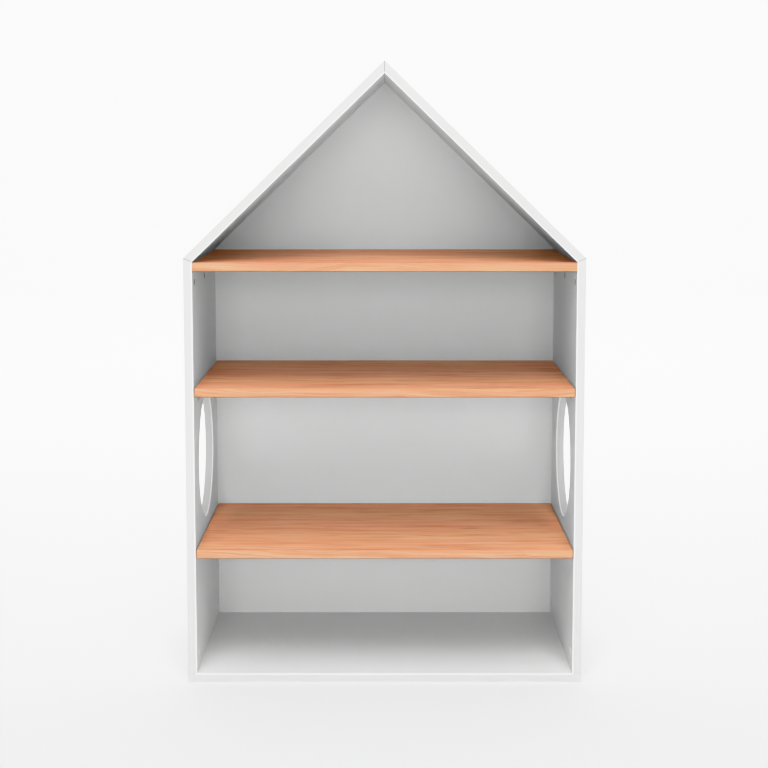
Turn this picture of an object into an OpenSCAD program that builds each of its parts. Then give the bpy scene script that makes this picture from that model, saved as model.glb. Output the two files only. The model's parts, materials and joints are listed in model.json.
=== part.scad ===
// House shaped bookcase: a gabled case of lacquered boards, mitred at the eaves and the ridge,
// with one fixed shelf, two loose shelves and a round window in each side.
// Millimetres. X runs from left to right, Y from the open front to the back, Z up.
// The origin lies on the floor, in the middle of the case's footprint.

/* [Case] */
// Width of the case over its two sides
case_w = 800; // [700:10:900]
// Depth of the case from its front edges to its rear edges
case_d = 430; // [390:5:470]
// Height of the outer eaves corners above the floor
eaves_z = 866; // [850:2:940]
// Height of the ridge above the eaves
roof_rise = 388; // [320:2:440]
// Thickness of the floor, the sides and the roof boards
board_t = 18; // [18:1:20]
// Thickness of the back panel
back_t = 4; // [3:0.5:4.5]
// Depth of the rebate that the back panel lies in, from the rear edges
rebate_d = 6; // [6:0.5:8]

/* [Shelves] */
// Thickness of the three shelves
shelf_t = 18; // [18:1:22]
// Height of the lower shelf's top face
lower_shelf_z = 275; // [265:5:285]
// Height of the middle shelf's top face
middle_shelf_z = 605; // [600:5:640]
// Drop of the fixed top shelf's face below the inner eaves corner
top_shelf_drop = 1.4; // [1:0.2:6]
// Gap between each end of a loose shelf and the side beside it
shelf_end_gap = 1.5; // [1:0.5:3]
// Setback of a loose shelf's front edge from the case's front edges
shelf_setback = 0.5; // [0:0.5:4]

/* [Windows] */
// Radius of the round window in each side
window_r = 132; // [100:1:140]

/* [Fittings] */
// Diameter of a cam housing
cam_d = 15; // [14:0.5:16]
// Distance from a cam's centre to the end of its board at a square joint
cam_reach = 34; // [30:1:36]
// Distance from a cam's centre to the mitre at the eaves
mitre_reach = 47; // [44:1:50]
// Distance of the outer fitting rows from the front and rear edges
row_inset = 37; // [32:1:42]
// Pitch from a cam to the dowel beside it
row_pitch = 32; // [28:1:36]
// Diameter of the dowels in the square joints
dowel_d = 8; // [6:1:8]
// Diameter of the thin dowels in the mitres
mitre_dowel_d = 6; // [5:0.5:6]

/* [Shelf supports] */
// Height of a plug-in shelf support below its shelf
support_h = 16; // [14:1:20]
// Reach of a shelf support from the side board
support_reach = 11; // [9:1:14]
// Distance of the supports from the front edge and from the back panel
support_inset = 70; // [60:1:90]

/* [Wall plates] */
// Distance between the two keyhole plates on the back
wall_plate_spacing = 500; // [400:10:540]
// Diameter of the round part of a keyhole
keyhole_d = 9; // [8:0.5:9]

/* [Hidden] */

$fn = 48;
eps = 0.01;       // overshoot of a cut past the face that it opens
over = 1;         // length by which a bore runs on past the end of its board

white = [0.93, 0.93, 0.92];
wood = [0.80, 0.53, 0.36];
pale_wood = [0.86, 0.74, 0.56];
steel = [0.66, 0.67, 0.69];
zinc = [0.42, 0.43, 0.44];

// The house outline
half_w = case_w / 2;
front_y = -case_d / 2;
rear_y = case_d / 2;
apex_z = eaves_z + roof_rise;
pitch = atan2(roof_rise, half_w);
bend = (90 - pitch) / 2;               // angle of the eaves mitre's normal from upright
inner_x = half_w - board_t;            // inner face of a side
panel_y = rear_y - rebate_d;           // front face of the back panel
panel_rear_y = panel_y + back_t;

function eaves_at(inset) = eaves_z - inset * tan(bend);
function apex_at(inset) = apex_z - inset / cos(pitch);
function house(inset) = [
    [-half_w + inset, inset], [half_w - inset, inset],
    [half_w - inset, eaves_at(inset)], [0, apex_at(inset)], [-half_w + inset, eaves_at(inset)]
];

rebate_inset = board_t - 10;           // the rebate is 10 wide, from the inner faces outwards
panel_inset = rebate_inset + 0.5;      // the panel's own edge, with half a millimetre to spare
screw_inset = (board_t + panel_inset) / 2;

// Shelves
top_shelf_z = eaves_at(board_t) - top_shelf_drop;
support_gap = 0.3;                     // between a loose shelf and its supports

// Windows, centred between the lower and the middle shelf
window_y = (front_y + panel_y) / 2;
window_z = (lower_shelf_z + middle_shelf_z - shelf_t) / 2;

// Fittings
cam_h = 13.5;
cam_sunk = 0.3;                        // a cam's face lies this far below the board's face
cam_clear = 0.1;                       // radial play of a cam in its pocket
bolt_bore_d = 8;
bolt_head_r = 3.4;
bolt_neck_r = 2.2;
bolt_shank_r = 3.5;
thread_r = 2.9;
thread_hole_r = 3;
thread_len = 11;
cap_d = 17;
cap_t = 1;
dowel_len = 28;
dowel_shift = 3;                       // a dowel stands this much further into the thicker stock
mitre_dowel_len = 16;
dowel_play = 0.2;
dowel_chamfer = 0.8;
end_rows = [front_y + row_inset, rear_y - row_inset];
dowel_rows = [front_y + row_inset + row_pitch, rear_y - row_inset - row_pitch];
mitre_rows = [front_y + row_inset, 0, rear_y - row_inset];
shelf_bolt_rows = dowel_rows;
shelf_dowel_rows = [dowel_rows[0] + 2 * row_pitch, dowel_rows[1] - 2 * row_pitch];
mitre_dowel_rows = [-3.5 * row_pitch, -1.25 * row_pitch, 1.25 * row_pitch, 3.5 * row_pitch];
ridge_dowel_rows = [for (i = [-2:2]) i * (case_d - 110) / 4];

// The middle of the eaves mitre, in the left-hand corner
mitre_x = -half_w + board_t / 2;
mitre_z = eaves_at(board_t / 2);
ridge_dowel_z = apex_z - 0.62 * board_t / cos(pitch);

// Shelf supports
support_w = 10;
support_lip = 2;                       // thickness of a support under the shelf
support_pin_d = 5;
support_pin_len = 8;
support_rows = [front_y + support_inset, panel_y - support_inset];

// Screws and wall plates
panel_screw_d = 3;
panel_screw_len = 16;
plate_screw_d = 3.5;
plate_screw_len = 22;
screw_play = 0.1;
plate_w = 46;
plate_h = 16;
plate_t = 1.5;
plate_screw_x = 17;
keyhole_y = 2;                         // the round part lies below the plate's middle
slot_top = 3;                          // the slot's round end lies above it
head_room = 8;                         // depth in the shelf for a wall screw's head
head_room_d = keyhole_d + 0.5;
slot_w = 4.6;
plate_z = top_shelf_z - shelf_t / 2;
plate_xs = [-wall_plate_spacing / 2, wall_plate_spacing / 2];

// ---- Shared shapes -------------------------------------------------------------------------

// An outline in the XZ plane, given depth from y0 to y1
module slab(points, y0, y1) {
    translate([0, y1, 0])
        rotate([90, 0, 0])
            linear_extrude(height = y1 - y0) polygon(points);
}

module both_sides() {
    children();
    mirror([1, 0, 0]) children();
}

// The rebate for the back panel, cut from the boards' rear inner arrises
module rebate() {
    slab(house(rebate_inset), panel_y, rear_y + over);
}

// A dowel centred on the origin, along Z, with chamfered ends
module dowel(d, len) {
    r = d / 2;
    e = len / 2;
    c = dowel_chamfer;
    rotate_extrude()
        polygon([[0, -e], [r - c, -e], [r, c - e], [r, e - c], [r - c, e], [0, e]]);
}

module dowel_hole(d, len) {
    cylinder(h = len + over, d = d + dowel_play, center = true);
}

// A cam fitting's frame: the origin is on the board's face on the cam's axis, +Z looks out of
// the face, and +X runs inside the board, `reach` long, to the joint. `mid` is half the board.
module cam_void(reach, mid) {
    translate([0, 0, -cam_h - cam_sunk])
        cylinder(h = cam_h + cam_sunk + over, d = cam_d + 2 * cam_clear);
    translate([0, 0, -mid])
        rotate([0, 90, 0]) cylinder(h = reach + over, d = bolt_bore_d);
}

module cam(mid) {
    recess_l = 0.62 * cam_d;
    recess_w = 1.8;
    recess_h = 3;
    difference() {
        translate([0, 0, -cam_h - cam_sunk]) cylinder(h = cam_h, d = cam_d);
        for (turn = [45, 135])
            translate([0, 0, -cam_sunk])
                rotate([0, 0, turn])
                    cube([recess_l, recess_w, 2 * recess_h], center = true);
        translate([-3, 0, -mid])
            rotate([0, 90, 0]) cylinder(h = cam_d, r = bolt_shank_r + 0.3);
    }
}

module cam_cap() {
    chamfer = 0.4;
    r = cap_d / 2;
    rotate_extrude()
        polygon([[0, 0], [r, 0], [r, cap_t - chamfer], [r - chamfer, cap_t], [0, cap_t]]);
}

// The head, neck and shank of a connecting bolt, from the cam towards the joint
module bolt_shank(reach) {
    head_end = 1.5;
    neck_end = 6.5;
    rotate([0, 90, 0]) {
        translate([0, 0, -2]) cylinder(h = 2 + head_end, r = bolt_head_r);
        translate([0, 0, head_end - eps])
            cylinder(h = neck_end - head_end + 2 * eps, r = bolt_neck_r);
        translate([0, 0, neck_end]) cylinder(h = reach - neck_end, r = bolt_shank_r);
    }
}

module straight_bolt(reach, mid) {
    translate([0, 0, -mid]) {
        bolt_shank(reach);
        translate([reach - eps, 0, 0])
            rotate([0, 90, 0]) cylinder(h = thread_len - 1, r = thread_r);
    }
}

module thread_hole(reach, mid) {
    translate([reach - over, 0, -mid])
        rotate([0, 90, 0]) cylinder(h = thread_len + over, r = thread_hole_r);
}

// The hinged bolt of the eaves mitre: its threaded end turns into the roof board's line
module mitre_bolt() {
    translate([0, 0, -board_t / 2]) {
        bolt_shank(mitre_reach - 1);
        translate([mitre_reach, 0, 0]) {
            sphere(r = bolt_head_r);
            rotate([0, 2 * bend * -1, 0])
                rotate([0, 90, 0]) cylinder(h = 17, r = thread_r);
        }
    }
}

// Its hole in the roof board: a mouth for the hinge, then the thread's hole
module mitre_thread_hole() {
    mouth = 5;
    translate([mitre_x, 0, mitre_z])
        rotate([0, 2 * bend, 0]) {
            translate([0, 0, -mouth]) cylinder(h = 2 * mouth, d = bolt_bore_d);
            cylinder(h = 18, r = thread_hole_r);
        }
}

// A countersunk screw: its head is flush with Z = 0 and it points down
module screw_profile(d, len, head_d, play) {
    r = d / 2 + play;
    h = head_d / 2 + play;
    rim = 0.3;
    cone = rim + (head_d - d) / 2;
    rotate_extrude()
        polygon([[0, 0], [h, 0], [h, -rim], [r, -cone], [r, -len + d], [0, -len - play]]);
}

module screw(d, len, head_d) {
    recess_w = 0.22 * d;
    difference() {
        screw_profile(d, len, head_d, 0);
        for (turn = [0, 90])
            rotate([0, 0, turn])
                cube([0.62 * head_d, recess_w, 2.4], center = true);
    }
}

// Where the back panel's screws stand, as [x, z]: floor, sides, roof boards, top shelf
panel_screws = concat(
    [for (i = [-1.5:1:1.5]) [i * (case_w - 140) / 3, screw_inset]],
    [for (s = [-1, 1]) for (i = [0:4])
        [s * (half_w - screw_inset), 70 + i * (eaves_z - 130) / 4]],
    [for (s = [-1, 1]) for (f = [0.1, 0.36, 0.63, 0.9])
        [s * (half_w - screw_inset) * (1 - f),
         eaves_at(screw_inset) * (1 - f) + apex_at(screw_inset) * f]],
    [for (x = [-wall_plate_spacing / 4, wall_plate_spacing / 4]) [x, plate_z]]
);

// Stands its children on the panel's rear face at [x, z], with +Z looking backwards
module on_back(at) {
    translate([at[0], panel_rear_y, at[1]]) rotate([-90, 0, 0]) children();
}

module panel_screw_voids() {
    for (at = panel_screws)
        on_back(at) screw_profile(panel_screw_d, panel_screw_len, 2 * panel_screw_d, screw_play);
}

module plate_screw_at(x) {
    for (dx = [-plate_screw_x, plate_screw_x])
        on_back([x + dx, plate_z]) translate([0, 0, plate_t]) children();
}

module plate_screw_voids() {
    for (x = plate_xs)
        plate_screw_at(x)
            screw_profile(plate_screw_d, plate_screw_len, 1.9 * plate_screw_d, screw_play);
}

// ---- Places of the fittings, for the left-hand half ----------------------------------------

module at_floor_cam(y) {
    translate([-inner_x, y, board_t + cam_reach]) rotate([0, 90, 0]) children();
}

module at_eaves_cam(y) {
    translate([-inner_x, y, mitre_z - mitre_reach])
        rotate([0, 90, 0]) rotate([0, 0, 180]) children();
}

module at_shelf_cam(y) {
    translate([-inner_x + cam_reach, y, top_shelf_z - shelf_t])
        rotate([0, 180, 0]) children();
}

module at_floor_dowel(y) {
    translate([mitre_x, y, board_t + dowel_shift]) children();
}

module at_shelf_dowel(y) {
    translate([-inner_x + dowel_shift, y, top_shelf_z - shelf_t / 2])
        rotate([0, 90, 0]) children();
}

module at_eaves_dowel(y) {
    translate([mitre_x, y, mitre_z]) rotate([0, bend, 0]) children();
}

module at_ridge_dowel(y) {
    translate([0, y, ridge_dowel_z]) rotate([0, 90, 0]) children();
}

// ---- The boards ----------------------------------------------------------------------------

module floor_panel() {
    color(white)
        difference() {
            slab([[-half_w, 0], [half_w, 0], [half_w, board_t], [-half_w, board_t]],
                 front_y, rear_y);
            rebate();
            both_sides() {
                for (y = end_rows) at_floor_cam(y) thread_hole(cam_reach, board_t / 2);
                for (y = dowel_rows) at_floor_dowel(y) dowel_hole(dowel_d, dowel_len);
            }
            panel_screw_voids();
        }
}

module support_holes(shelf_z) {
    for (y = support_rows)
        at_support(y, shelf_z)
            translate([over, 0, -support_h / 2])
                rotate([0, -90, 0])
                    cylinder(h = support_pin_len + 2 * over, d = support_pin_d + dowel_play);
}

module side_board() {
    difference() {
        slab([[-half_w, board_t], [-inner_x, board_t], [-inner_x, eaves_at(board_t)],
              [-half_w, eaves_z]], front_y, rear_y);
        rebate();
        translate([-half_w - over, window_y, window_z])
            rotate([0, 90, 0]) cylinder(h = board_t + 2 * over, r = window_r, $fn = 120);
        for (y = end_rows) at_floor_cam(y) cam_void(cam_reach, board_t / 2);
        for (y = dowel_rows) at_floor_dowel(y) dowel_hole(dowel_d, dowel_len);
        for (y = mitre_rows) at_eaves_cam(y) cam_void(mitre_reach + 4, board_t / 2);
        for (y = mitre_dowel_rows) at_eaves_dowel(y) dowel_hole(mitre_dowel_d, mitre_dowel_len);
        for (y = shelf_bolt_rows) at_shelf_cam(y) thread_hole(cam_reach, shelf_t / 2);
        for (y = shelf_dowel_rows) at_shelf_dowel(y) dowel_hole(dowel_d, dowel_len);
        support_holes(middle_shelf_z);
        support_holes(lower_shelf_z);
        panel_screw_voids();
    }
}

module left_side() {
    color(white) side_board();
}

module right_side() {
    color(white) mirror([1, 0, 0]) side_board();
}

module roof_board() {
    difference() {
        slab([[-half_w, eaves_z], [-inner_x, eaves_at(board_t)], [0, apex_at(board_t)],
              [0, apex_z]], front_y, rear_y);
        rebate();
        for (y = mitre_rows) translate([0, y, 0]) mitre_thread_hole();
        for (y = mitre_dowel_rows) at_eaves_dowel(y) dowel_hole(mitre_dowel_d, mitre_dowel_len);
        for (y = ridge_dowel_rows) at_ridge_dowel(y) dowel_hole(mitre_dowel_d, mitre_dowel_len);
        panel_screw_voids();
    }
}

module left_roof() {
    color(white) roof_board();
}

module right_roof() {
    color(white) mirror([1, 0, 0]) roof_board();
}

// Room behind each keyhole, through the back panel and into the shelf, for the head of the
// screw that stands out of the wall
module keyhole_rooms() {
    depth = back_t + head_room;
    for (x = plate_xs)
        on_back([x, plate_z])
            translate([0, 0, -depth])
                linear_extrude(height = depth + over) {
                    for (y = [keyhole_y, -slot_top]) translate([0, y]) circle(d = head_room_d);
                    translate([-head_room_d / 2, -slot_top])
                        square([head_room_d, slot_top + keyhole_y]);
                }
}

module back_panel() {
    color(white)
        difference() {
            slab(house(panel_inset), panel_y, panel_rear_y);
            panel_screw_voids();
            plate_screw_voids();
            keyhole_rooms();
        }
}

// ---- The shelves ---------------------------------------------------------------------------

module top_shelf() {
    color(wood)
        difference() {
            translate([-inner_x, front_y, top_shelf_z - shelf_t])
                cube([2 * inner_x, panel_y - front_y, shelf_t]);
            both_sides() {
                for (y = shelf_bolt_rows) at_shelf_cam(y) cam_void(cam_reach, shelf_t / 2);
                for (y = shelf_dowel_rows) at_shelf_dowel(y) dowel_hole(dowel_d, dowel_len);
            }
            panel_screw_voids();
            plate_screw_voids();
            keyhole_rooms();
        }
}

// A loose board on four supports, short of the sides and of the back panel
module loose_shelf(top_z) {
    back_gap = 1;
    y0 = front_y + shelf_setback;
    color(wood)
        translate([shelf_end_gap - inner_x, y0, top_z - shelf_t])
            cube([2 * (inner_x - shelf_end_gap), panel_y - back_gap - y0, shelf_t]);
}

module middle_shelf() {
    loose_shelf(middle_shelf_z);
}

module lower_shelf() {
    loose_shelf(lower_shelf_z);
}

// ---- The shelf supports --------------------------------------------------------------------

module at_support(y, shelf_z) {
    translate([-inner_x, y, shelf_z - shelf_t - support_gap]) children();
}

// A plug-in support: a wedge that tapers down the side board, and a pin in the board's hole
module shelf_support() {
    heel = 2;
    rotate([90, 0, 0])
        linear_extrude(height = support_w, center = true)
            polygon([[0, 0], [support_reach, 0], [support_reach, -support_lip],
                     [heel, -support_h], [0, -support_h]]);
    translate([heel / 2, 0, -support_h / 2])
        rotate([0, -90, 0]) cylinder(h = support_pin_len + heel / 2, d = support_pin_d);
}

module shelf_supports(shelf_z) {
    color(steel)
        both_sides()
            for (y = support_rows) at_support(y, shelf_z) shelf_support();
}

module middle_shelf_supports() {
    shelf_supports(middle_shelf_z);
}

module lower_shelf_supports() {
    shelf_supports(lower_shelf_z);
}

// ---- The joints between floor and sides ----------------------------------------------------

module floor_cams() {
    color(zinc)
        both_sides()
            for (y = end_rows) at_floor_cam(y) cam(board_t / 2);
}

module floor_cam_caps() {
    color(white)
        both_sides()
            for (y = end_rows) at_floor_cam(y) cam_cap();
}

module floor_cam_bolts() {
    color(steel)
        both_sides()
            for (y = end_rows) at_floor_cam(y) straight_bolt(cam_reach, board_t / 2);
}

module floor_dowels() {
    color(pale_wood)
        both_sides()
            for (y = dowel_rows) at_floor_dowel(y) dowel(dowel_d, dowel_len);
}

// ---- The mitred joints at the eaves and the ridge ------------------------------------------

module eaves_cams() {
    color(zinc)
        both_sides()
            for (y = mitre_rows) at_eaves_cam(y) cam(board_t / 2);
}

module eaves_mitre_bolts() {
    color(steel)
        both_sides()
            for (y = mitre_rows) at_eaves_cam(y) mitre_bolt();
}

module eaves_dowels() {
    color(pale_wood)
        both_sides()
            for (y = mitre_dowel_rows) at_eaves_dowel(y) dowel(mitre_dowel_d, mitre_dowel_len);
}

module ridge_dowels() {
    color(pale_wood)
        for (y = ridge_dowel_rows) at_ridge_dowel(y) dowel(mitre_dowel_d, mitre_dowel_len);
}

// ---- The joints between top shelf and sides ------------------------------------------------

module top_shelf_cams() {
    color(zinc)
        both_sides()
            for (y = shelf_bolt_rows) at_shelf_cam(y) cam(shelf_t / 2);
}

module top_shelf_cam_caps() {
    color(wood)
        both_sides()
            for (y = shelf_bolt_rows) at_shelf_cam(y) cam_cap();
}

module top_shelf_bolts() {
    color(steel)
        both_sides()
            for (y = shelf_bolt_rows) at_shelf_cam(y) straight_bolt(cam_reach, shelf_t / 2);
}

module top_shelf_dowels() {
    color(pale_wood)
        both_sides()
            for (y = shelf_dowel_rows) at_shelf_dowel(y) dowel(dowel_d, dowel_len);
}

// ---- What holds the back panel, and the wall plates ----------------------------------------

module back_panel_screws() {
    color(steel)
        for (at = panel_screws)
            on_back(at) screw(panel_screw_d, panel_screw_len, 2 * panel_screw_d);
}

module wall_plate() {
    end_r = plate_h / 2;
    difference() {
        linear_extrude(height = plate_t)
            difference() {
                union() {
                    square([plate_w - plate_h, plate_h], center = true);
                    for (s = [-1, 1]) translate([s * (plate_w / 2 - end_r), 0]) circle(r = end_r);
                }
                translate([0, keyhole_y]) circle(d = keyhole_d);
                translate([0, -slot_top]) circle(d = slot_w);
                translate([-slot_w / 2, -slot_top]) square([slot_w, slot_top + keyhole_y]);
            }
        for (dx = [-plate_screw_x, plate_screw_x])
            translate([dx, 0, plate_t])
                screw_profile(plate_screw_d, plate_screw_len, 1.9 * plate_screw_d, screw_play);
    }
}

module wall_plates() {
    color(steel)
        for (x = plate_xs) on_back([x, plate_z]) wall_plate();
}

module wall_plate_screws() {
    color(steel)
        for (x = plate_xs)
            plate_screw_at(x) screw(plate_screw_d, plate_screw_len, 1.9 * plate_screw_d);
}

floor_panel();
left_side();
right_side();
left_roof();
right_roof();
back_panel();
top_shelf();
middle_shelf();
lower_shelf();
middle_shelf_supports();
lower_shelf_supports();
floor_cams();
floor_cam_caps();
floor_cam_bolts();
floor_dowels();
eaves_cams();
eaves_mitre_bolts();
eaves_dowels();
ridge_dowels();
top_shelf_cams();
top_shelf_cam_caps();
top_shelf_bolts();
top_shelf_dowels();
back_panel_screws();
wall_plates();
wall_plate_screws();
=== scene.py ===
"""A house shaped bookcase: white lacquered boards, wood shelves, round windows, studio."""
import json
import math

import bmesh
import bpy
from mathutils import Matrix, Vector

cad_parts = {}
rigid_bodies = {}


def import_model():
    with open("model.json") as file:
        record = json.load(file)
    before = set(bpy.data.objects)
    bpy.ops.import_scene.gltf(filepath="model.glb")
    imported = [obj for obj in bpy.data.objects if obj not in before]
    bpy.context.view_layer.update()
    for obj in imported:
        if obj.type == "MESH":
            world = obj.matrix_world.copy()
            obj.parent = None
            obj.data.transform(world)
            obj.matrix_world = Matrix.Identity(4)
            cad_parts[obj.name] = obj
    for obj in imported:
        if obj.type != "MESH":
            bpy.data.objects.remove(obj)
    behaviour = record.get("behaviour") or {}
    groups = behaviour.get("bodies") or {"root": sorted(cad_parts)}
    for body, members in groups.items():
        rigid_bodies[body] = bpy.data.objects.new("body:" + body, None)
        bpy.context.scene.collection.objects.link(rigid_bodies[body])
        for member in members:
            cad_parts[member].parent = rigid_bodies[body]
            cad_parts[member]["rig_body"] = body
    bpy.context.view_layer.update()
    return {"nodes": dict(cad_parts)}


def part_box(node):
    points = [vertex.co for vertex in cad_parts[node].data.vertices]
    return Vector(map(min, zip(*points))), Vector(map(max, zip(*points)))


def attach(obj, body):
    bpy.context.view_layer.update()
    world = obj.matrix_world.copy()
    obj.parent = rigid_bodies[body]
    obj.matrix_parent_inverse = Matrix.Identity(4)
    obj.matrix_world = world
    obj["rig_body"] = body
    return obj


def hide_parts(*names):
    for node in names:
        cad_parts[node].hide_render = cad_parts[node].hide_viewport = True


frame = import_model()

# ---- The bookcase's own measures, in metres ------------------------------------------------

LACQUERED_BOARDS = ("floor_panel", "left_side", "right_side", "left_roof", "right_roof")
SHELVES = ("top_shelf", "middle_shelf", "lower_shelf")

side_low, side_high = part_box("right_side")
HALF_WIDTH = side_high.x
FRONT = side_low.y
REAR = side_high.y
EAVES = side_high.z
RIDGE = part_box("right_roof")[1].z
BOARD = HALF_WIDTH - side_low.x
SHELF_UNDERSIDES = [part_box(shelf)[0].z for shelf in SHELVES]

# For each metre across: how much the roof falls, and how far that is along its slope
ROOF_FALL = (RIDGE - EAVES) / HALF_WIDTH
ROOF_RUN = math.hypot(1, ROOF_FALL)
INNER_RIDGE = RIDGE - BOARD * ROOF_RUN
EAVES_MITRE_FALL = ROOF_RUN - ROOF_FALL

# The windows share one axis from side to side
WINDOW_RADIUS = 0.132
WINDOW_DEPTH = -0.003
WINDOW_HEIGHT = 0.431

EDGE_BAND = 0.0010
LACQUERED_ARRIS = 0.0009
SHELF_ARRIS = 0.0012

# How far the painted highlight along the inner arris reaches onto the front edges and into the
# windows, and how much of a window's outer arris stays white like the face beside it
ARRIS_HIGHLIGHT_REACH = 0.0020
RIM_HIGHLIGHT_REACH = 0.0022
WHITE_SKIN = 0.0005

# The depth of a shelf's front edge, and the height and depth of the painted shade line along its
# lower arris
SHELF_EDGE = 0.0006
SHADE_LINE_RISE = 0.0011
SHADE_LINE_REACH = 0.0020

# How softly a painted place ends
FADE = 0.0006
FINE_FADE = 0.0004

# Half a fine line's width, where it begins to fade and where it is gone, and how far over the
# ridge's inner corner the line of its mitre begins
BAND_LINE = (0.00010, 0.00028)
MITRE_LINE = (0.0002, 0.0007)
RIDGE_SKIN = 0.0003

# How far the grain sways: sideways on a shelf's faces, up and down on its edge
SWAY_SIDEWAYS = 0.012
SWAY_UPWARDS = 0.024


# ---- Finishes ------------------------------------------------------------------------------

class Finish:
    """A material that is put together from the surface's own place outwards."""

    def __init__(self, name, colour, roughness):
        self.material = bpy.data.materials.new(name)
        self.material.use_nodes = True
        self.material.diffuse_color = (*colour, 1.0)
        self.tree = self.material.node_tree
        self.shader = self.tree.nodes["Principled BSDF"]
        self.shader.inputs["Base Color"].default_value = (*colour, 1.0)
        self.shader.inputs["Roughness"].default_value = roughness
        self.place = self.part("ShaderNodeTexCoord").outputs["Object"]

    def part(self, kind, **settings):
        """A new node of one kind, with its settings."""
        node = self.tree.nodes.new(kind)
        for setting, value in settings.items():
            setattr(node, setting, value)
        return node

    def feed(self, socket, value):
        """Links an output to a socket, or sets the socket to a plain value."""
        if isinstance(value, bpy.types.NodeSocket):
            self.tree.links.new(value, socket)
        else:
            socket.default_value = value

    def stretched(self, stretch, place=None, shift=(0, 0, 0)):
        """The surface's place, with each axis stretched and then shifted."""
        mapping = self.part("ShaderNodeMapping")
        self.feed(mapping.inputs["Vector"], self.place if place is None else place)
        mapping.inputs["Scale"].default_value = stretch
        mapping.inputs["Location"].default_value = shift
        return mapping.outputs["Vector"]

    def clouds(self, place, scale=1.0, detail=2.0, grit=0.5):
        """Soft noise from 0 to 1, at so many blotches a metre."""
        noise = self.part("ShaderNodeTexNoise")
        self.feed(noise.inputs["Vector"], place)
        noise.inputs["Scale"].default_value = scale
        noise.inputs["Detail"].default_value = detail
        noise.inputs["Roughness"].default_value = grit
        return noise.outputs["Fac"]

    def remapped(self, value, low, high, to_low=0.0, to_high=1.0, easing="LINEAR"):
        """The value, with the range from low to high spread over another and cut off there."""
        node = self.part("ShaderNodeMapRange", interpolation_type=easing)
        self.feed(node.inputs["Value"], value)
        node.inputs["From Min"].default_value = low
        node.inputs["From Max"].default_value = high
        node.inputs["To Min"].default_value = to_low
        node.inputs["To Max"].default_value = to_high
        return node.outputs["Result"]

    def up_to(self, value, limit, fade):
        """1 where the value is below the limit, and from there down to 0 over the fade."""
        return self.remapped(value, limit, limit + fade, 1, 0)

    def fine_line(self, distance, widths):
        """1 on a line, fading softly on both sides of it."""
        return self.remapped(distance, *widths, 1, 0, "SMOOTHSTEP")

    def maths(self, kind, *values):
        """One sum, difference, product, least or most of the values, from the first onwards."""
        result = values[0]
        for value in values[1:]:
            node = self.part("ShaderNodeMath", operation=kind)
            self.feed(node.inputs[0], result)
            self.feed(node.inputs[1], value)
            result = node.outputs["Value"]
        return result

    def plus(self, *values):
        return self.maths("ADD", *values)

    def minus(self, first, second):
        return self.maths("SUBTRACT", first, second)

    def times(self, *values):
        return self.maths("MULTIPLY", *values)

    def least(self, *values):
        return self.maths("MINIMUM", *values)

    def most(self, *values):
        return self.maths("MAXIMUM", *values)

    def size_of(self, value):
        """The value without its sign."""
        return self.maths("ABSOLUTE", value, 0)

    def between(self, share, first, second):
        """A colour between two others."""
        node = self.part("ShaderNodeMix", data_type="RGBA")
        self.feed(node.inputs["Factor"], share)
        self.feed(node.inputs["A"], self.opaque(first))
        self.feed(node.inputs["B"], self.opaque(second))
        return node.outputs["Result"]

    def opaque(self, colour):
        """A plain colour with full cover, or a colour that another node gives, as it is."""
        return colour if isinstance(colour, bpy.types.NodeSocket) else (*colour, 1.0)

    def axis(self, letter):
        """How far the surface lies along X, Y or Z."""
        node = self.part("ShaderNodeSeparateXYZ")
        self.feed(node.inputs["Vector"], self.place)
        return node.outputs[letter]

    def joined(self, x, y, z):
        """A place or direction from its three parts."""
        node = self.part("ShaderNodeCombineXYZ")
        for socket, value in zip(("X", "Y", "Z"), (x, y, z)):
            self.feed(node.inputs[socket], value)
        return node.outputs["Vector"]

    def length(self, vector):
        node = self.part("ShaderNodeVectorMath", operation="LENGTH")
        self.feed(node.inputs[0], vector)
        return node.outputs["Value"]

    def raised(self, height, depth, under=None):
        """Turns a height from 0 to 1 into relief that is so many metres deep."""
        node = self.part("ShaderNodeBump")
        node.inputs["Strength"].default_value = 1.0
        node.inputs["Distance"].default_value = depth
        self.feed(node.inputs["Height"], height)
        if under is not None:
            self.feed(node.inputs["Normal"], under)
        return node.outputs["Normal"]

    def done(self, colour, roughness, relief=None, **constants):
        """Feeds the shader, sets its plain values and gives the material."""
        self.feed(self.shader.inputs["Base Color"], colour)
        self.feed(self.shader.inputs["Roughness"], roughness)
        if relief is not None:
            self.feed(self.shader.inputs["Normal"], relief)
        for socket, value in constants.items():
            self.shader.inputs[socket.replace("_", " ")].default_value = value
        return self.material


def dimmed(colour, share):
    return tuple(part * share for part in colour)


def past_edge_bands(white):
    """How far inward the surface lies from the bands on the boards' front and rear edges."""
    depth = white.axis("Y")
    from_front = white.minus(depth, FRONT + EDGE_BAND)
    from_rear = white.minus(REAR - EDGE_BAND, depth)
    return white.least(from_front, from_rear)


def past_window_bands(white):
    """How far the surface lies from the bands round the windows. The outer faces and the inner
    arris, which keeps a painted highlight, count as far away, so that they stay white."""
    aside = white.size_of(white.axis("X"))
    from_axis = white.length(white.joined(
        0,
        white.minus(white.axis("Y"), WINDOW_DEPTH),
        white.minus(white.axis("Z"), WINDOW_HEIGHT),
    ))
    on_rim_highlight = white.up_to(aside, HALF_WIDTH - BOARD + RIM_HIGHLIGHT_REACH, FADE)
    skin = HALF_WIDTH - WHITE_SKIN
    on_outer_face = white.remapped(aside, skin, skin + FINE_FADE)
    return white.plus(
        white.minus(from_axis, WINDOW_RADIUS + EDGE_BAND), on_outer_face, on_rim_highlight
    )


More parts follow.
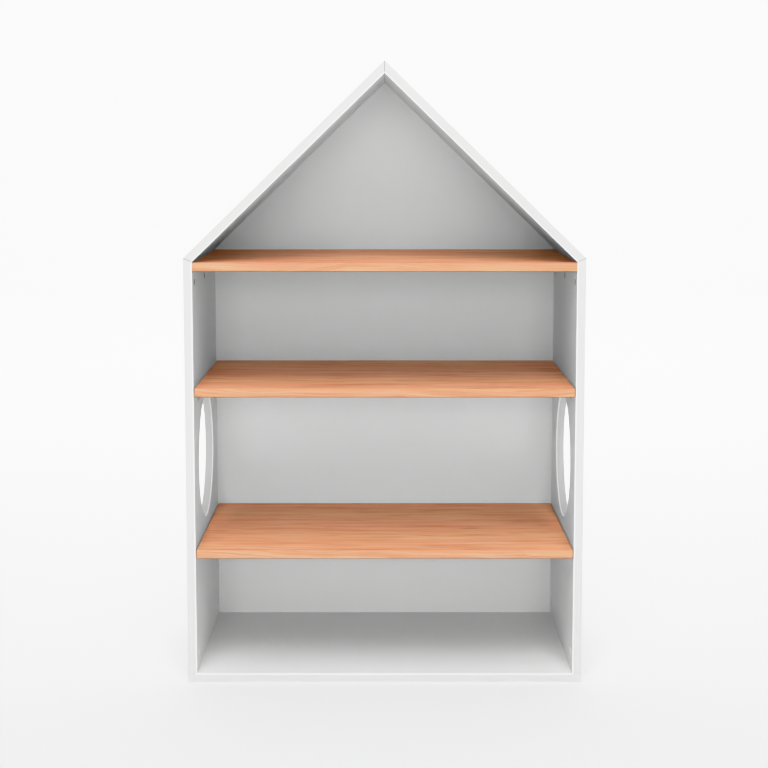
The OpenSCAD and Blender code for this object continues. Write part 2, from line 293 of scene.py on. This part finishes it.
def painted_arris_highlight(white):
    """1 along the arris round the open front, where the bands' painted shade stops short and
    leaves a painted highlight.
    """
    aside = white.size_of(white.axis("X"))
    height = white.axis("Z")
    above = white.minus(white.plus(white.times(aside, ROOF_FALL), height), INNER_RIDGE)
    into_roof = white.times(above, 1 / ROOF_RUN)
    into_side = white.minus(aside, HALF_WIDTH - BOARD)
    into_floor = white.minus(BOARD, height)
    into_board = white.most(into_roof, into_side, into_floor)
    in_front_half = white.up_to(white.axis("Y"), 0, FADE)
    return white.times(white.up_to(into_board, ARRIS_HIGHLIGHT_REACH, FADE), in_front_half)


def mitre_lines(white):
    """1 along the mitres at the eaves and the ridge, where two boards meet."""
    aside = white.size_of(white.axis("X"))
    height = white.axis("Z")
    fall = white.times(white.minus(HALF_WIDTH, aside), EAVES_MITRE_FALL)
    from_eaves_mitre = white.size_of(white.plus(white.minus(height, EAVES), fall))
    below_ridge = white.up_to(height, INNER_RIDGE + RIDGE_SKIN, FINE_FADE)
    from_ridge_mitre = white.plus(aside, below_ridge)
    return white.fine_line(white.least(from_eaves_mitre, from_ridge_mitre), MITRE_LINE)


def white_lacquer():
    """Satin white lacquer on board: a trace of roller texture, edge bands a shade greyer than the
    faces as painted shade that tones down the lit front edges and window rims, a painted highlight
    where the inner arris stays white, a fine line where each band ends, and a dark line where two
    boards meet."""
    white = Finish("white_lacquer", (0.890, 0.890, 0.886), roughness=0.52)
    cast = white.clouds(white.place, 3.5)
    tint = white.between(cast, (0.896, 0.896, 0.893), (0.882, 0.882, 0.879))
    dust = white.clouds(white.place, 640, grit=0.6)
    tint = white.between(white.remapped(dust, 0.60, 0.78, 0, 0.06), tint, (0.80, 0.80, 0.79))

    inward = past_edge_bands(white)
    # Painted shade: the bands on the front edges and round the windows a shade greyer than the
    # faces, to tone down the edges that face the lamps; the inner arris stays white as a painted
    # highlight
    painted_band_shade = white.up_to(white.least(inward, past_window_bands(white)), 0, FINE_FADE / 2)
    painted_band_shade = white.times(painted_band_shade, white.minus(1, painted_arris_highlight(white)))
    tint = white.between(painted_band_shade, tint, (0.630, 0.630, 0.627))
    band_line = white.fine_line(white.size_of(inward), BAND_LINE)
    tint = white.between(white.times(band_line, 0.35), tint, (0.45, 0.45, 0.44))
    tint = white.between(white.times(mitre_lines(white), 0.75), tint, (0.20, 0.20, 0.195))

    rubbed = white.clouds(white.place, 14, detail=3.0, grit=0.55)
    speckled = white.clouds(white.place, 260, detail=1.0)
    sheen = white.plus(
        white.remapped(rubbed, 0.3, 0.7, 0.52, 0.62),
        white.remapped(speckled, 0.2, 0.8, -0.02, 0.02),
    )

    orange_peel = white.clouds(white.place, 420, detail=1.5, grit=0.45)
    relief = white.raised(orange_peel, 0.000035)
    relief = white.raised(white.times(band_line, -1), 0.00006, relief)
    return white.done(tint, sheen, relief, Specular_IOR_Level=0.25)


def panel_white():
    """Matt white on thin fibreboard: flatter and a little rougher than the boards."""
    panel = Finish("panel_white", (0.910, 0.910, 0.906), roughness=0.62)
    cast = panel.clouds(panel.place, 2.2)
    tint = panel.between(cast, (0.916, 0.916, 0.913), (0.902, 0.902, 0.899))
    fibres = panel.clouds(panel.stretched((1.0, 1.0, 0.35)), 900, detail=3.0, grit=0.65)
    tint = panel.between(panel.remapped(fibres, 0.55, 0.8, 0, 0.10), tint, (0.74, 0.74, 0.73))
    rubbed = panel.clouds(panel.place, 22, detail=3.0, grit=0.6)
    sheen = panel.remapped(rubbed, 0.3, 0.7, 0.58, 0.70)
    return panel.done(tint, sheen, panel.raised(fibres, 0.00005), Specular_IOR_Level=0.25)


def along_the_grain(wood, on_edge):
    """The surface's place, drifting as it runs along: sideways on the faces, up and down on the
    front edge."""
    drift = wood.clouds(wood.stretched((1.6, 0.8, 0.8)), grit=0.45)
    ripple = wood.clouds(wood.stretched((7.0, 9.0, 9.0)))
    sway = wood.plus(
        wood.remapped(drift, 0.3, 0.7, -1, 1),
        wood.remapped(ripple, 0.3, 0.7, -0.10, 0.10),
    )
    sideways = wood.times(sway, wood.remapped(on_edge, 0, 1, SWAY_SIDEWAYS, 0))
    upwards = wood.times(sway, wood.remapped(on_edge, 0, 1, 0, SWAY_UPWARDS))
    return wood.joined(
        wood.axis("X"), wood.plus(wood.axis("Y"), sideways), wood.plus(wood.axis("Z"), upwards)
    )


def painted_shade_under_edge(wood):
    """A fine line of painted shade along the lower arris of each shelf's front edge."""
    height = wood.axis("Z")
    gaps = [wood.size_of(wood.minus(height, underside)) for underside in SHELF_UNDERSIDES]
    near_underside = wood.up_to(wood.least(*gaps), SHADE_LINE_RISE, FINE_FADE)
    near_front = wood.up_to(wood.axis("Y"), FRONT + SHADE_LINE_REACH, FADE)
    return wood.times(near_underside, near_front)


def shelf_wood():
    """Orange-brown wood with its grain along X: broad tan and rosy bands, wavy streaks that drift
    across the board's edge, thin fibres, and short dark flecks; the front edge in darker shades
    and a fine dark line along its lower arris, both painted shade."""
    wood = Finish("shelf_wood", (0.78, 0.39, 0.22), roughness=0.55)
    on_edge = wood.up_to(wood.axis("Y"), FRONT + SHELF_EDGE, FINE_FADE)
    grain = along_the_grain(wood, on_edge)

    bands = wood.clouds(wood.stretched((0.9, 15.0, 60.0), grain), detail=3.0, grit=0.55)
    tones = wood.clouds(wood.stretched((1.6, 24.0, 110.0), grain, (3.1, 0, 7.7)))
    streaks = wood.clouds(wood.stretched((3.6, 46.0, 330.0), grain), detail=3.0, grit=0.58)
    lines = wood.clouds(
        wood.stretched((5.0, 95.0, 520.0), grain, (1.7, 4.0, 0)), detail=3.0, grit=0.6
    )
    fibres = wood.clouds(wood.stretched((14.0, 420.0, 900.0), grain), detail=3.0, grit=0.6)
    flecks = wood.clouds(
        wood.stretched((13.0, 130.0, 480.0), grain, (0, 9.0, 5.0)), detail=1.0, grit=0.4
    )

    # Each shade on the faces, and then a darker copy on the front edge, as painted shade for the
    # straighter light that falls on the edge
    tan = wood.between(on_edge, (0.945, 0.480, 0.246), (0.660, 0.410, 0.240))
    rosy = wood.between(on_edge, (0.950, 0.398, 0.232), (0.660, 0.340, 0.210))
    pale = wood.between(on_edge, (0.980, 0.588, 0.368), (0.730, 0.515, 0.335))
    rich = wood.between(on_edge, (0.800, 0.295, 0.145), (0.480, 0.205, 0.103))
    dark = wood.between(on_edge, (0.720, 0.232, 0.115), (0.600, 0.235, 0.122))
    warm = wood.between(on_edge, (0.840, 0.320, 0.162), (0.700, 0.320, 0.170))
    tint = wood.between(wood.remapped(bands, 0.36, 0.64), tan, rosy)
    tint = wood.between(wood.remapped(tones, 0.52, 0.70, 0, 0.70), tint, pale)
    tint = wood.between(wood.remapped(streaks, 0.48, 0.66, 0, 0.62), tint, rich)
    tint = wood.between(wood.remapped(lines, 0.50, 0.66, 0, 0.60), tint, dark)
    tint = wood.between(wood.remapped(lines, 0.32, 0.44, 0.50, 0), tint, pale)
    tint = wood.between(wood.remapped(fibres, 0.45, 0.75, 0, 0.22), tint, warm)
    tint = wood.between(wood.remapped(flecks, 0.65, 0.76, 0, 0.60), tint, (0.51, 0.160, 0.076))
    # Painted shade: a dark line along each shelf's lower front arris
    under_edge_shade = wood.times(painted_shade_under_edge(wood), 0.90)
    tint = wood.between(under_edge_shade, tint, (0.200, 0.105, 0.060))

    # What the wood throws on the boards beside it is grey, as their whites stay neutral
    rays = wood.part("ShaderNodeLightPath").outputs
    bounced = wood.most(rays["Is Diffuse Ray"], rays["Is Glossy Ray"])
    tint = wood.between(bounced, tint, (0.42, 0.42, 0.42))

    sheen = wood.remapped(fibres, 0.3, 0.7, 0.52, 0.64)
    relief = wood.raised(fibres, 0.00005)
    relief = wood.raised(wood.remapped(flecks, 0.62, 0.74, 1, 0), 0.00010, relief)
    return wood.done(tint, sheen, relief, Specular_IOR_Level=0.2)


def beech():
    """Bare turned beech for dowels: pale, matt, with short flecks."""
    pale = Finish("bare_beech", (0.68, 0.50, 0.32), roughness=0.7)
    grain = pale.clouds(pale.place, 900, detail=3.0, grit=0.6)
    tint = pale.between(pale.remapped(grain, 0.35, 0.7), (0.70, 0.52, 0.34), (0.58, 0.40, 0.24))
    return pale.done(tint, pale.remapped(grain, 0.3, 0.7, 0.62, 0.78), pale.raised(grain, 0.00008))


def metal(name, colour, roughness, blotches, tooth):
    """Plated or cast metal, cloudy between two roughnesses, with a fine tooth."""
    plate = Finish(name, colour, sum(roughness) / 2)
    clouds = plate.clouds(plate.place, blotches, detail=3.0, grit=0.6)
    tint = plate.between(plate.remapped(clouds, 0.3, 0.7), colour, dimmed(colour, 0.86))
    sheen = plate.remapped(clouds, 0.25, 0.75, *roughness)
    relief = plate.raised(plate.clouds(plate.place, blotches * 9), tooth)
    return plate.done(tint, sheen, relief, Metallic=1.0)


def moulded(name, colour):
    """Moulded plastic with a fine matt texture."""
    plastic = Finish(name, colour, roughness=0.5)
    cast = plastic.clouds(plastic.place, 60, detail=1.0)
    tint = plastic.between(cast, colour, dimmed(colour, 0.95))
    grain = plastic.clouds(plastic.place, 2600, detail=1.0)
    sheen = plastic.remapped(grain, 0.3, 0.7, 0.44, 0.56)
    return plastic.done(tint, sheen, plastic.raised(grain, 0.00002))


def floor_paint():
    """The studio floor: pale, matt and even."""
    pale = Finish("studio_white", (0.95, 0.95, 0.95), roughness=0.85)
    mottle = pale.clouds(pale.place, 1.2)
    tint = pale.between(mottle, (0.955, 0.955, 0.955), (0.945, 0.945, 0.946))
    return pale.done(tint, pale.remapped(mottle, 0.3, 0.7, 0.82, 0.90))


# ---- Pieces --------------------------------------------------------------------------------

# How far two faces turn where an edge is sharp, is no edge at all, or is still shaded as round
SHARP = math.radians(30)
SAME_PLANE = math.radians(0.5)
SHADED_ROUND = math.radians(32)

# How closely places are told apart, and how far a rim's straight pieces may lie off its circle
SAME_PLACE = 0.000002
OUTSIDE = 0.000001
NEAR = 0.0001
SLACK = 0.001
RIM_TOLERANCE = 0.0006

SHORTEST_ARRIS = 0.012
ARRIS_STEPS = 3


def nothing_selected():
    if bpy.context.object and bpy.context.object.mode != "OBJECT":
        bpy.ops.object.mode_set(mode="OBJECT")
    bpy.ops.object.select_all(action="DESELECT")


def paint(piece, finish):
    """Puts one finish on all of a piece."""
    if not piece.material_slots:
        piece.data.materials.append(finish)
    for slot in piece.material_slots:
        slot.material = finish


def is_foot(edge):
    """True for the short front edge on which a side stands, flush with the floor panel."""
    return edge.calc_length() < BOARD + SLACK and all(
        abs(end.co.z - BOARD) < NEAR and end.co.y < FRONT + NEAR for end in edge.verts
    )


def is_window_rim(edge):
    """True for a piece of the round edge that a window makes in a face of a side."""
    middle = (edge.verts[0].co + edge.verts[1].co) / 2
    from_axis = math.hypot(middle.y - WINDOW_DEPTH, middle.z - WINDOW_HEIGHT)
    on_a_side = abs(middle.x) > HALF_WIDTH - BOARD - SLACK
    return on_a_side and abs(from_axis - WINDOW_RADIUS) < RIM_TOLERANCE


def is_arris(edge):
    """True for a sharp, straight edge that is long, and for the rim of a window."""
    if len(edge.link_faces) != 2 or edge.calc_face_angle(0) < SHARP or is_foot(edge):
        return False
    return edge.calc_length() > SHORTEST_ARRIS or is_window_rim(edge)


def pressed_inside(board, node):
    """Presses a corner that the rounding pushed out of the board's box back onto its planes."""
    bpy.ops.mesh.select_mode(type="VERT")
    for axis in range(3):
        for plane, outward in zip(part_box(node), (-1, 1)):
            mesh = bmesh.from_edit_mesh(board.data)
            for vertex in mesh.verts:
                vertex.select = (vertex.co[axis] - plane[axis]) * outward > OUTSIDE
            mesh.select_flush_mode()
            bmesh.update_edit_mesh(board.data)
            if board.data.total_vert_sel:
                squeeze = [0 if side == axis else 1 for side in range(3)]
                bpy.ops.transform.resize(value=squeeze, center_override=plane)


def keep_faces_flat(board):
    """Lets the wide faces set the shading, so that only the rounded arrises look round."""
    bpy.ops.object.shade_smooth_by_angle(angle=SHADED_ROUND)
    flat_faces = board.modifiers.new("flat_faces", "WEIGHTED_NORMAL")
    flat_faces.weight = 100
    flat_faces.keep_sharp = True
    bpy.ops.object.modifier_apply(modifier="flat_faces")


def eased_board(node, finish, arris):
    """A copy of a board with its arrises rounded over, in place of the sharp CAD board."""
    nothing_selected()
    source = frame["nodes"][node]
    body = source["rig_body"]
    source.select_set(True)
    bpy.context.view_layer.objects.active = source
    bpy.ops.object.duplicate()
    board = bpy.context.object
    board.name = node + "_board"

    # A piece of its own, without the marks of the CAD node that it was copied from
    for mark in list(board.keys()):
        del board[mark]
    board.parent = None

    # The CAD node's loose triangles, merged into whole faces
    bpy.ops.object.mode_set(mode="EDIT")
    bpy.ops.mesh.select_all(action="SELECT")
    bpy.ops.mesh.remove_doubles(threshold=SAME_PLACE)
    bpy.ops.mesh.dissolve_limited(angle_limit=SAME_PLANE)
    bpy.ops.mesh.select_all(action="DESELECT")

    # The arrises, rounded over
    bpy.ops.mesh.select_mode(type="EDGE")
    mesh = bmesh.from_edit_mesh(board.data)
    for edge in mesh.edges:
        edge.select = is_arris(edge)
    mesh.select_flush_mode()
    bmesh.update_edit_mesh(board.data)
    bpy.ops.mesh.bevel(
        offset=arris, offset_type="OFFSET", segments=ARRIS_STEPS, clamp_overlap=False
    )
    pressed_inside(board, node)
    bpy.ops.object.mode_set(mode="OBJECT")
    keep_faces_flat(board)
    paint(board, finish)
    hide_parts(node)
    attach(board, body)
    return board


# ---- The bookcase --------------------------------------------------------------------------

lacquer = white_lacquer()
panel = panel_white()
wood = shelf_wood()
dowel_beech = beech()
cam_zinc = metal("cast_zinc", (0.34, 0.345, 0.35), (0.42, 0.60), 180, tooth=0.00005)
bolt_zinc = metal("zinc_plate", (0.62, 0.625, 0.64), (0.22, 0.36), 240, tooth=0.00002)
nickel = metal("satin_nickel", (0.42, 0.41, 0.40), (0.44, 0.58), 200, tooth=0.00003)
screw_zinc = metal("screw_plate", (0.58, 0.585, 0.60), (0.25, 0.40), 260, tooth=0.00002)
white_cap = moulded("moulded_white", (0.84, 0.84, 0.83))
brown_cap = moulded("moulded_brown", (0.42, 0.20, 0.105))

for node in LACQUERED_BOARDS:
    eased_board(node, lacquer, LACQUERED_ARRIS)
for node in SHELVES:
    eased_board(node, wood, SHELF_ARRIS)

for node, finish in {
    "back_panel": panel,
    "middle_shelf_supports": nickel,
    "lower_shelf_supports": nickel,
    "floor_cams": cam_zinc,
    "floor_cam_caps": white_cap,
    "floor_cam_bolts": bolt_zinc,
    "floor_dowels": dowel_beech,
    "eaves_cams": cam_zinc,
    "eaves_mitre_bolts": bolt_zinc,
    "eaves_dowels": dowel_beech,
    "ridge_dowels": dowel_beech,
    "top_shelf_cams": cam_zinc,
    "top_shelf_cam_caps": brown_cap,
    "top_shelf_bolts": bolt_zinc,
    "top_shelf_dowels": dowel_beech,
    "back_panel_screws": screw_zinc,
    "wall_plates": screw_zinc,
    "wall_plate_screws": screw_zinc,
}.items():
    paint(frame["nodes"][node], finish)


# ---- The studio ----------------------------------------------------------------------------

# The floor's sides and rings: where it starts, where it begins to rise, how round the rise is
# and in how many steps, and the top of the wall
FLOOR_SIDES = 96
FLOOR_START = 8.5
FLOOR_FLAT = 9.0
FLOOR_BEND = 3.0
FLOOR_BEND_STEPS = 12
WALL_TOP = 8.0

# Where the lamps point to
CASE_MIDDLE = (0.0, -0.1, 0.6)
WALL_MIDDLE = (0.0, 11.5, 1.5)

# Where the camera stands, and how many degrees it looks down: the tilt stands in for most of
# the downward shift with which the photograph was taken
EYE_DISTANCE = 3.0632
EYE_HEIGHT = 1.0751
EYE_TILT = 6.142


def floor_rings():
    """How far out and how high each ring of the studio floor lies, from its flat part upwards."""
    rings = [(FLOOR_FLAT, 0.0)]
    for step in range(1, FLOOR_BEND_STEPS + 1):
        turn = math.radians(90) * step / FLOOR_BEND_STEPS
        out = FLOOR_FLAT + FLOOR_BEND * math.sin(turn)
        rings.append((out, FLOOR_BEND * (1 - math.cos(turn))))
    rings.append((FLOOR_FLAT + FLOOR_BEND, WALL_TOP))
    return rings


def studio_floor():
    """A pale round floor whose rim curves up into a wall, so that no view has a horizon."""
    nothing_selected()
    bpy.ops.mesh.primitive_circle_add(
        vertices=FLOOR_SIDES, radius=FLOOR_START, fill_type="NGON"
    )
    dish = bpy.context.object
    dish.name = "studio_floor"
    bpy.ops.object.mode_set(mode="EDIT")
    bpy.ops.mesh.select_mode(type="EDGE")
    bpy.ops.mesh.select_all(action="DESELECT")
    mesh = bmesh.from_edit_mesh(dish.data)
    for edge in mesh.edges:
        edge.select = True
    bmesh.update_edit_mesh(dish.data)
    reach, rise = FLOOR_START, 0.0
    for next_reach, next_rise in floor_rings():
        bpy.ops.mesh.extrude_edges_move(
            TRANSFORM_OT_translate={"value": (0, 0, next_rise - rise)}
        )
        widen = next_reach / reach
        bpy.ops.transform.resize(
            value=(widen, widen, 1), center_override=(0, 0, next_rise)
        )
        reach, rise = next_reach, next_rise
    bpy.ops.object.mode_set(mode="OBJECT")
    bpy.ops.object.shade_smooth()
    paint(dish, floor_paint())


def soft_box(name, place, aim, size, power):
    """A large square light that points from one place towards another."""
    lamp = bpy.data.lights.new(name, "AREA")
    lamp.size = size
    lamp.energy = power
    holder = bpy.data.objects.new(name, lamp)
    holder.location = place
    holder.rotation_euler = (Vector(aim) - Vector(place)).to_track_quat("-Z", "Y").to_euler()
    holder.visible_camera = False
    bpy.context.scene.collection.objects.link(holder)


def room_light(strength):
    """Even white light from all round."""
    world = bpy.data.worlds.new("studio_air")
    world.use_nodes = True
    air = world.node_tree.nodes["Background"]
    air.inputs["Color"].default_value = (1.0, 1.0, 1.0, 1.0)
    air.inputs["Strength"].default_value = strength
    bpy.context.scene.world = world


def camera():
    """Where the photograph was taken from: in front, at the height of the attic."""
    lens = bpy.data.cameras.new("camera")
    lens.sensor_width = 36.0
    lens.lens = 72.637
    lens.shift_x = -0.00085
    lens.shift_y = -0.085
    lens.clip_end = 60.0
    eye = bpy.data.objects.new("camera", lens)
    eye.location = (0.0, FRONT - EYE_DISTANCE, EYE_HEIGHT)
    eye.rotation_euler = (math.radians(90 - EYE_TILT), 0, 0)
    bpy.context.scene.collection.objects.link(eye)
    bpy.context.scene.camera = eye


studio_floor()
soft_box("front", (0.0, -8.08, 1.16), CASE_MIDDLE, size=3.2, power=195)
soft_box("high", (0.0, -5.66, 6.35), CASE_MIDDLE, size=5.0, power=275)
soft_box("steep", (0.0, -4.10, 7.53), CASE_MIDDLE, size=5.0, power=215)
soft_box("above", (0.0, -0.11, 7.90), CASE_MIDDLE, size=6.0, power=165)
soft_box("backdrop", (0.0, 3.5, 6.5), WALL_MIDDLE, size=5.0, power=1250)
room_light(strength=0.04)
camera()
bpy.context.scene.view_settings.view_transform = "Khronos PBR Neutral"
